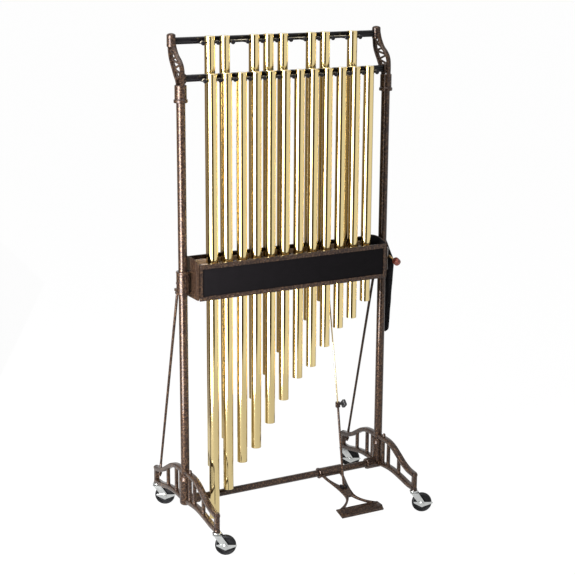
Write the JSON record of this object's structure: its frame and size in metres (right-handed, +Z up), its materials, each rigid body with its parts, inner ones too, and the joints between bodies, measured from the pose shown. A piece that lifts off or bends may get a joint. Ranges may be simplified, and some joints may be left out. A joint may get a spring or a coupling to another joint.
{
  "type": "tubular bells",
  "caption": "Tubular bells: rows of hanging brass tubes in a wheeled stand, with a felt damper box worked by a foot pedal and a mallet in its pouch.",
  "frame": {"origin": "on the floor, under the middle of the bounding box", "axes": "+X along the rails towards the short tubes, -Y towards the player, +Z up"},
  "size_m": [0.9292, 0.6003, 1.822],
  "materials": {
    "brown_paint": "metallic brown enamel",
    "black_paint": "satin",
    "black_panel": "matt",
    "brass": "polished",
    "zinc": "bright zinc plate",
    "black_tyre": "matt",
    "black_knob": "matt",
    "black_cloth": "woven",
    "felted_bar": "felt on a wooden bar",
    "cord": "braided",
    "rawhide": "rolled hide on a wooden handle"
  },
  "bodies": {
    "stand": {"left_leg": "brown_paint", "right_leg": "brown_paint", "left_upright": "brown_paint", "right_upright": "brown_paint", "left_top_casting": "brown_paint", "right_top_casting": "brown_paint", "left_box_clamp": "brown_paint", "right_box_clamp": "brown_paint", "left_brace": "brown_paint", "right_brace": "brown_paint", "left_end_plate": "brown_paint", "right_end_plate": "brown_paint", "front_rail": "black_paint", "rear_rail": "black_paint", "crossbar": "brown_paint", "box_front_shell": "brown_paint", "box_front_panel": "black_panel", "box_rear_shell": "brown_paint", "mallet_pouch": "black_cloth", "front_cord": "cord", "rear_cord": "cord"},
    "front_left_yoke": {"front_left_caster_yoke": "zinc"},
    "front_left_wheel": {"front_left_caster_wheel": "black_tyre"},
    "front_left_brake": {"front_left_caster_brake": "zinc"},
    "front_right_yoke": {"front_right_caster_yoke": "zinc"},
    "front_right_wheel": {"front_right_caster_wheel": "black_tyre"},
    "front_right_brake": {"front_right_caster_brake": "zinc"},
    "rear_left_yoke": {"rear_left_caster_yoke": "zinc"},
    "rear_left_wheel": {"rear_left_caster_wheel": "black_tyre"},
    "rear_left_brake": {"rear_left_caster_brake": "zinc"},
    "rear_right_yoke": {"rear_right_caster_yoke": "zinc"},
    "rear_right_wheel": {"rear_right_caster_wheel": "black_tyre"},
    "rear_right_brake": {"rear_right_caster_brake": "zinc"},
    "foot_pedal": {"pedal": "brown_paint"},
    "shaft": {"damper_shaft": "zinc"},
    "felts": {"damper_frame": "felted_bar"},
    "pull_rod": {"upper_pull_rod": "brass", "lower_pull_rod": "brown_paint"},
    "knob": {"clamp_knob": "black_knob"},
    "beater": {"mallet": "rawhide"},
    "bell_c5": {"tube_c5": "brass"},
    "bell_d5": {"tube_d5": "brass"},
    "bell_e5": {"tube_e5": "brass"},
    "bell_f5": {"tube_f5": "brass"},
    "bell_g5": {"tube_g5": "brass"},
    "bell_a5": {"tube_a5": "brass"},
    "bell_b5": {"tube_b5": "brass"},
    "bell_c6": {"tube_c6": "brass"},
    "bell_d6": {"tube_d6": "brass"},
    "bell_e6": {"tube_e6": "brass"},
    "bell_f6": {"tube_f6": "brass"},
    "bell_g6": {"tube_g6": "brass"},
    "bell_c5_sharp": {"tube_c5_sharp": "brass"},
    "bell_d5_sharp": {"tube_d5_sharp": "brass"},
    "bell_f5_sharp": {"tube_f5_sharp": "brass"},
    "bell_g5_sharp": {"tube_g5_sharp": "brass"},
    "bell_a5_sharp": {"tube_a5_sharp": "brass"},
    "bell_c6_sharp": {"tube_c6_sharp": "brass"},
    "bell_d6_sharp": {"tube_d6_sharp": "brass"},
    "bell_f6_sharp": {"tube_f6_sharp": "brass"}
  },
  "joints": [
    {"name": "front_left_swivel", "type": "hinge", "parent": "stand", "child": "front_left_yoke", "pos_m": [-0.44005, -0.25236, 0.0867], "axis": [0, 0, 1], "continuous": true},
    {"name": "front_left_roll", "type": "hinge", "parent": "front_left_yoke", "child": "front_left_wheel", "pos_m": [-0.41314, -0.26714, 0.0381], "axis": [0.4813, 0.8766, 0], "continuous": true},
    {"name": "front_left_brake_tilt", "type": "hinge", "parent": "front_left_yoke", "child": "front_left_brake", "pos_m": [-0.41314, -0.26714, 0.0381], "axis": [0.4813, 0.8766, 0], "range_deg": [0, 15]},
    {"name": "front_right_swivel", "type": "hinge", "parent": "stand", "child": "front_right_yoke", "pos_m": [0.39995, -0.25236, 0.0867], "axis": [0, 0, 1], "continuous": true},
    {"name": "front_right_roll", "type": "hinge", "parent": "front_right_yoke", "child": "front_right_wheel", "pos_m": [0.42686, -0.26714, 0.0381], "axis": [0.4813, 0.8766, 0], "continuous": true},
    {"name": "front_right_brake_tilt", "type": "hinge", "parent": "front_right_yoke", "child": "front_right_brake", "pos_m": [0.42686, -0.26714, 0.0381], "axis": [0.4813, 0.8766, 0], "range_deg": [0, 15]},
    {"name": "rear_left_swivel", "type": "hinge", "parent": "stand", "child": "rear_left_yoke", "pos_m": [-0.44005, 0.27764, 0.0867], "axis": [0, 0, 1], "continuous": true},
    {"name": "rear_left_roll", "type": "hinge", "parent": "rear_left_yoke", "child": "rear_left_wheel", "pos_m": [-0.41314, 0.26286, 0.0381], "axis": [0.4813, 0.8766, 0], "continuous": true},
    {"name": "rear_left_brake_tilt", "type": "hinge", "parent": "rear_left_yoke", "child": "rear_left_brake", "pos_m": [-0.41314, 0.26286, 0.0381], "axis": [0.4813, 0.8766, 0], "range_deg": [0, 15]},
    {"name": "rear_right_swivel", "type": "hinge", "parent": "stand", "child": "rear_right_yoke", "pos_m": [0.39995, 0.27764, 0.0867], "axis": [0, 0, 1], "continuous": true},
    {"name": "rear_right_roll", "type": "hinge", "parent": "rear_right_yoke", "child": "rear_right_wheel", "pos_m": [0.42686, 0.26286, 0.0381], "axis": [0.4813, 0.8766, 0], "continuous": true},
    {"name": "rear_right_brake_tilt", "type": "hinge", "parent": "rear_right_yoke", "child": "rear_right_brake", "pos_m": [0.42686, 0.26286, 0.0381], "axis": [0.4813, 0.8766, 0], "range_deg": [0, 15]},
    {"name": "pedal_press", "type": "hinge", "parent": "stand", "child": "foot_pedal", "pos_m": [0.17845, 0.01264, 0.1128], "axis": [1, 0, 0], "range_deg": [0, 6], "stiffness_Nm_per_rad": 30, "springref_deg": -11.46},
    {"name": "damper_rock", "type": "hinge", "parent": "stand", "child": "shaft", "pos_m": [-0.02005, -0.05436, 0.905], "axis": [1, 0, 0], "range_deg": [-11.3, 0]},
    {"name": "rod_swing", "type": "hinge", "parent": "shaft", "child": "pull_rod", "pos_m": [0.15455, 0.00464, 0.9], "axis": [1, 0, 0], "range_deg": [0, 11.7]},
    {"name": "damper_slide", "type": "slide", "parent": "stand", "child": "felts", "axis": [0, 1, 0], "range_m": [0, 0.0051]},
    {"name": "knob_turn", "type": "hinge", "parent": "pull_rod", "child": "knob", "pos_m": [0.19095, -0.04336, 0.404], "axis": [1, 0, 0], "range_deg": [0, 180]},
    {"name": "mallet_draw", "type": "slide", "parent": "stand", "child": "beater", "axis": [0, -0.9781, -0.2079], "range_m": [0, 0.17]},
    {"name": "swing_c5", "type": "hinge", "parent": "stand", "child": "bell_c5", "pos_m": [-0.34015, -0.02736, 1.6677], "axis": [1, 0, 0], "range_deg": [-0.25, 0]},
    {"name": "swing_d5", "type": "hinge", "parent": "stand", "child": "bell_d5", "pos_m": [-0.28195, -0.02736, 1.6677], "axis": [1, 0, 0], "range_deg": [-0.25, 0]},
    {"name": "swing_e5", "type": "hinge", "parent": "stand", "child": "bell_e5", "pos_m": [-0.22375, -0.02736, 1.6677], "axis": [1, 0, 0], "range_deg": [-0.25, 0]},
    {"name": "swing_f5", "type": "hinge", "parent": "stand", "child": "bell_f5", "pos_m": [-0.16555, -0.02736, 1.6677], "axis": [1, 0, 0], "range_deg": [-0.25, 0]},
    {"name": "swing_g5", "type": "hinge", "parent": "stand", "child": "bell_g5", "pos_m": [-0.10735, -0.02736, 1.6677], "axis": [1, 0, 0], "range_deg": [-0.25, 0]},
    {"name": "swing_a5", "type": "hinge", "parent": "stand", "child": "bell_a5", "pos_m": [-0.04915, -0.02736, 1.6677], "axis": [1, 0, 0], "range_deg": [-0.25, 0]},
    {"name": "swing_b5", "type": "hinge", "parent": "stand", "child": "bell_b5", "pos_m": [0.00905, -0.02736, 1.6677], "axis": [1, 0, 0], "range_deg": [-0.25, 0]},
    {"name": "swing_c6", "type": "hinge", "parent": "stand", "child": "bell_c6", "pos_m": [0.06725, -0.02736, 1.6677], "axis": [1, 0, 0], "range_deg": [-0.25, 0]},
    {"name": "swing_d6", "type": "hinge", "parent": "stand", "child": "bell_d6", "pos_m": [0.12545, -0.02736, 1.6677], "axis": [1, 0, 0], "range_deg": [-0.25, 0]},
    {"name": "swing_e6", "type": "hinge", "parent": "stand", "child": "bell_e6", "pos_m": [0.18365, -0.02736, 1.6677], "axis": [1, 0, 0], "range_deg": [-0.25, 0]},
    {"name": "swing_f6", "type": "hinge", "parent": "stand", "child": "bell_f6", "pos_m": [0.24185, -0.02736, 1.6677], "axis": [1, 0, 0], "range_deg": [-0.25, 0]},
    {"name": "swing_g6", "type": "hinge", "parent": "stand", "child": "bell_g6", "pos_m": [0.30005, -0.02736, 1.6677], "axis": [1, 0, 0], "range_deg": [-0.25, 0]},
    {"name": "swing_c5_sharp", "type": "hinge", "parent": "stand", "child": "bell_c5_sharp", "pos_m": [-0.31105, 0.04664, 1.7907], "axis": [1, 0, 0], "range_deg": [-0.9, 0]},
    {"name": "swing_d5_sharp", "type": "hinge", "parent": "stand", "child": "bell_d5_sharp", "pos_m": [-0.25285, 0.04664, 1.7907], "axis": [1, 0, 0], "range_deg": [-0.9, 0]},
    {"name": "swing_f5_sharp", "type": "hinge", "parent": "stand", "child": "bell_f5_sharp", "pos_m": [-0.13645, 0.04664, 1.7907], "axis": [1, 0, 0], "range_deg": [-0.9, 0]},
    {"name": "swing_g5_sharp", "type": "hinge", "parent": "stand", "child": "bell_g5_sharp", "pos_m": [-0.07825, 0.04664, 1.7907], "axis": [1, 0, 0], "range_deg": [-0.9, 0]},
    {"name": "swing_a5_sharp", "type": "hinge", "parent": "stand", "child": "bell_a5_sharp", "pos_m": [-0.02005, 0.04664, 1.7907], "axis": [1, 0, 0], "range_deg": [-0.9, 0]},
    {"name": "swing_c6_sharp", "type": "hinge", "parent": "stand", "child": "bell_c6_sharp", "pos_m": [0.09635, 0.04664, 1.7907], "axis": [1, 0, 0], "range_deg": [-0.9, 0]},
    {"name": "swing_d6_sharp", "type": "hinge", "parent": "stand", "child": "bell_d6_sharp", "pos_m": [0.15455, 0.04664, 1.7907], "axis": [1, 0, 0], "range_deg": [-0.9, 0]},
    {"name": "swing_f6_sharp", "type": "hinge", "parent": "stand", "child": "bell_f6_sharp", "pos_m": [0.27095, 0.04664, 1.7907], "axis": [1, 0, 0], "range_deg": [-0.9, 0]}
  ],
  "couplings": [
    {"joint": "damper_rock", "follows": "pedal_press", "ratio": -1.8644},
    {"joint": "rod_swing", "follows": "pedal_press", "ratio": 1.9287},
    {"joint": "damper_slide", "follows": "pedal_press", "m_per_rad": 0.0487}
  ]
}
